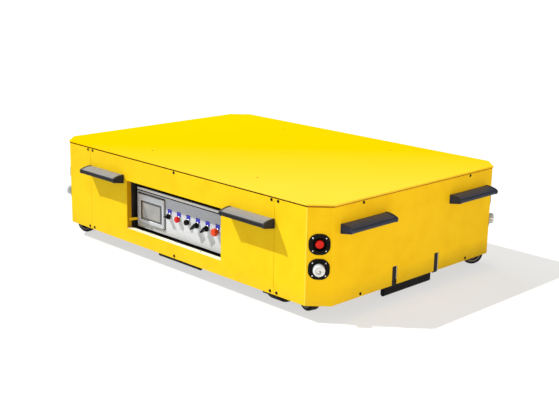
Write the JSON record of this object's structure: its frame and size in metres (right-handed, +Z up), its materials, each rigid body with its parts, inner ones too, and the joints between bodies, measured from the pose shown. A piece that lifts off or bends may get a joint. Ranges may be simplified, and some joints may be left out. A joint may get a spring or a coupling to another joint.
{
  "type": "automated guided vehicle",
  "caption": "Flat-deck automated guided vehicle: bent-sheet skirt with cut corners, recessed control panel, obstacle sensor bars, corner lamps and stops, swivel casters, steered drive wheels.",
  "frame": {"origin": "on the floor under the middle of the deck", "axes": "+X along the length to the front end, -Y to the side with the control window, +Z up"},
  "size_m": [1.9124, 1.3484, 0.485],
  "materials": {
    "yellow_paint": "satin powder coat",
    "frame_paint": "matt black paint",
    "silver_panel": "satin",
    "screen_frame": "silver moulding",
    "screen_glass": "dark display",
    "collar_metal": "bright",
    "black_plastic": "satin moulding",
    "red_plastic": "gloss",
    "lamp_lens": "milky clear",
    "battery_case": "painted",
    "zinc_steel": "zinc plate",
    "wheel_core": "moulded",
    "tread_rubber": "matt",
    "cast_iron": "painted casting",
    "gear_steel": "oiled",
    "motor_paint": "satin"
  },
  "bodies": {
    "chassis": {"deck_plate": "yellow_paint", "end_shell_front": "yellow_paint", "end_shell_rear": "yellow_paint", "side_panel_control": "yellow_paint", "side_panel_plain": "yellow_paint", "chassis_frame": "frame_paint", "control_box": "frame_paint", "control_panel": "silver_panel", "hmi_frame": "screen_frame", "hmi_screen": "screen_glass", "switch_collars": "collar_metal", "corner_bezels": "black_plastic", "lamp_lenses": "lamp_lens", "obstacle_sensor_housings": "black_plastic", "obstacle_sensor_end_caps": "black_plastic", "guide_sensors": "black_plastic", "guide_sensor_arms": "frame_paint", "battery_tray": "frame_paint", "battery_pack": "battery_case", "caster_top_plates": "zinc_steel", "drive_mount_plates": "frame_paint", "steer_motors": "motor_paint"},
    "caster_swivel_front_right": {"caster_fork_front_right": "zinc_steel", "caster_axle_front_right": "zinc_steel"},
    "caster_roll_front_right": {"caster_wheel_front_right": "wheel_core", "caster_tyre_front_right": "tread_rubber"},
    "caster_swivel_front_left": {"caster_fork_front_left": "zinc_steel", "caster_axle_front_left": "zinc_steel"},
    "caster_roll_front_left": {"caster_wheel_front_left": "wheel_core", "caster_tyre_front_left": "tread_rubber"},
    "caster_swivel_rear_left": {"caster_fork_rear_left": "zinc_steel", "caster_axle_rear_left": "zinc_steel"},
    "caster_roll_rear_left": {"caster_wheel_rear_left": "wheel_core", "caster_tyre_rear_left": "tread_rubber"},
    "caster_swivel_rear_right": {"caster_fork_rear_right": "zinc_steel", "caster_axle_rear_right": "zinc_steel"},
    "caster_roll_rear_right": {"caster_wheel_rear_right": "wheel_core", "caster_tyre_rear_right": "tread_rubber"},
    "drive_steer_front": {"drive_gear_case_front": "cast_iron", "steer_ring_gear_front": "gear_steel", "traction_motor_front": "motor_paint"},
    "drive_roll_front": {"drive_wheel_front": "cast_iron", "drive_tyre_front": "tread_rubber"},
    "steer_pinion_front": {"steer_pinion_front": "gear_steel"},
    "drive_steer_rear": {"drive_gear_case_rear": "cast_iron", "steer_ring_gear_rear": "gear_steel", "traction_motor_rear": "motor_paint"},
    "drive_roll_rear": {"drive_wheel_rear": "cast_iron", "drive_tyre_rear": "tread_rubber"},
    "steer_pinion_rear": {"steer_pinion_rear": "gear_steel"},
    "key_selector": {"key_selector": "black_plastic"},
    "red_push_button": {"red_push_button": "red_plastic"},
    "black_push_button": {"black_push_button": "black_plastic"},
    "mode_selector": {"mode_selector": "black_plastic"},
    "direction_selector": {"direction_selector": "black_plastic"},
    "panel_stop_button": {"panel_stop_button": "red_plastic"},
    "corner_stop_front_right": {"corner_stop_front_right": "red_plastic"},
    "corner_stop_front_left": {"corner_stop_front_left": "red_plastic"},
    "corner_stop_rear_left": {"corner_stop_rear_left": "red_plastic"},
    "corner_stop_rear_right": {"corner_stop_rear_right": "red_plastic"}
  },
  "joints": [
    {"name": "caster_swivel_front_right", "type": "hinge", "parent": "chassis", "child": "caster_swivel_front_right", "pos_m": [0.778, -0.503, 0.118], "axis": [0, 0, 1], "continuous": true},
    {"name": "caster_roll_front_right", "type": "hinge", "parent": "caster_swivel_front_right", "child": "caster_roll_front_right", "pos_m": [0.73496, -0.49385, 0.05], "axis": [-0.2079, -0.9781, 0], "continuous": true},
    {"name": "caster_swivel_front_left", "type": "hinge", "parent": "chassis", "child": "caster_swivel_front_left", "pos_m": [0.778, 0.503, 0.118], "axis": [0, 0, 1], "continuous": true},
    {"name": "caster_roll_front_left", "type": "hinge", "parent": "caster_swivel_front_left", "child": "caster_roll_front_left", "pos_m": [0.80744, 0.5357, 0.05], "axis": [-0.7431, 0.6691, 0], "continuous": true},
    {"name": "caster_swivel_rear_left", "type": "hinge", "parent": "chassis", "child": "caster_swivel_rear_left", "pos_m": [-0.778, 0.503, 0.118], "axis": [0, 0, 1], "continuous": true},
    {"name": "caster_roll_rear_left", "type": "hinge", "parent": "caster_swivel_rear_left", "child": "caster_roll_rear_left", "pos_m": [-0.80744, 0.5357, 0.05], "axis": [-0.7431, -0.6691, 0], "continuous": true},
    {"name": "caster_swivel_rear_right", "type": "hinge", "parent": "chassis", "child": "caster_swivel_rear_right", "pos_m": [-0.778, -0.503, 0.118], "axis": [0, 0, 1], "continuous": true},
    {"name": "caster_roll_rear_right", "type": "hinge", "parent": "caster_swivel_rear_right", "child": "caster_roll_rear_right", "pos_m": [-0.81985, -0.5166, 0.05], "axis": [0.309, -0.9511, 0], "continuous": true},
    {"name": "drive_steer_front", "type": "hinge", "parent": "chassis", "child": "drive_steer_front", "pos_m": [0.583, -0.488, 0.206], "axis": [0, 0, 1], "range_deg": [-180, 0]},
    {"name": "drive_roll_front", "type": "hinge", "parent": "drive_steer_front", "child": "drive_roll_front", "pos_m": [0.583, -0.488, 0.09], "axis": [1, 0, 0], "continuous": true},
    {"name": "steer_pinion_front_spin", "type": "hinge", "parent": "chassis", "child": "steer_pinion_front", "pos_m": [0.455, -0.488, 0.228], "axis": [0, 0, 1], "continuous": true},
    {"name": "drive_steer_rear", "type": "hinge", "parent": "chassis", "child": "drive_steer_rear", "pos_m": [-0.583, 0.488, 0.206], "axis": [0, 0, 1], "range_deg": [-180, 0]},
    {"name": "drive_roll_rear", "type": "hinge", "parent": "drive_steer_rear", "child": "drive_roll_rear", "pos_m": [-0.583, 0.488, 0.09], "axis": [1, 0, 0], "continuous": true},
    {"name": "steer_pinion_rear_spin", "type": "hinge", "parent": "chassis", "child": "steer_pinion_rear", "pos_m": [-0.455, 0.488, 0.228], "axis": [0, 0, 1], "continuous": true},
    {"name": "key_selector_turn", "type": "hinge", "parent": "chassis", "child": "key_selector", "pos_m": [-0.1, -0.555, 0.235], "axis": [0, -1, 0], "range_deg": [-90, 0]},
    {"name": "red_push_button_press", "type": "slide", "parent": "chassis", "child": "red_push_button", "axis": [0, 1, 0], "range_m": [0, 0.004], "stiffness_N_per_m": 1000},
    {"name": "black_push_button_press", "type": "slide", "parent": "chassis", "child": "black_push_button", "axis": [0, 1, 0], "range_m": [0, 0.004], "stiffness_N_per_m": 1000},
    {"name": "mode_selector_turn", "type": "hinge", "parent": "chassis", "child": "mode_selector", "pos_m": [0.0995, -0.555, 0.235], "axis": [0, -1, 0], "range_deg": [-45, 45]},
    {"name": "direction_selector_turn", "type": "hinge", "parent": "chassis", "child": "direction_selector", "pos_m": [0.166, -0.555, 0.235], "axis": [0, -1, 0], "range_deg": [-45, 45]},
    {"name": "panel_stop_button_press", "type": "slide", "parent": "chassis", "child": "panel_stop_button", "axis": [0, 1, 0], "range_m": [0, 0.005]},
    {"name": "corner_stop_front_right_press", "type": "slide", "parent": "chassis", "child": "corner_stop_front_right", "axis": [-0.7071, 0.7071, 0], "range_m": [0, 0.005]},
    {"name": "corner_stop_front_left_press", "type": "slide", "parent": "chassis", "child": "corner_stop_front_left", "axis": [-0.7071, -0.7071, 0], "range_m": [0, 0.005]},
    {"name": "corner_stop_rear_left_press", "type": "slide", "parent": "chassis", "child": "corner_stop_rear_left", "axis": [0.7071, -0.7071, 0], "range_m": [0, 0.005]},
    {"name": "corner_stop_rear_right_press", "type": "slide", "parent": "chassis", "child": "corner_stop_rear_right", "axis": [0.7071, 0.7071, 0], "range_m": [0, 0.005]}
  ],
  "couplings": [
    {"joint": "steer_pinion_front_spin", "follows": "drive_steer_front", "ratio": -3},
    {"joint": "steer_pinion_rear_spin", "follows": "drive_steer_rear", "ratio": -3}
  ]
}
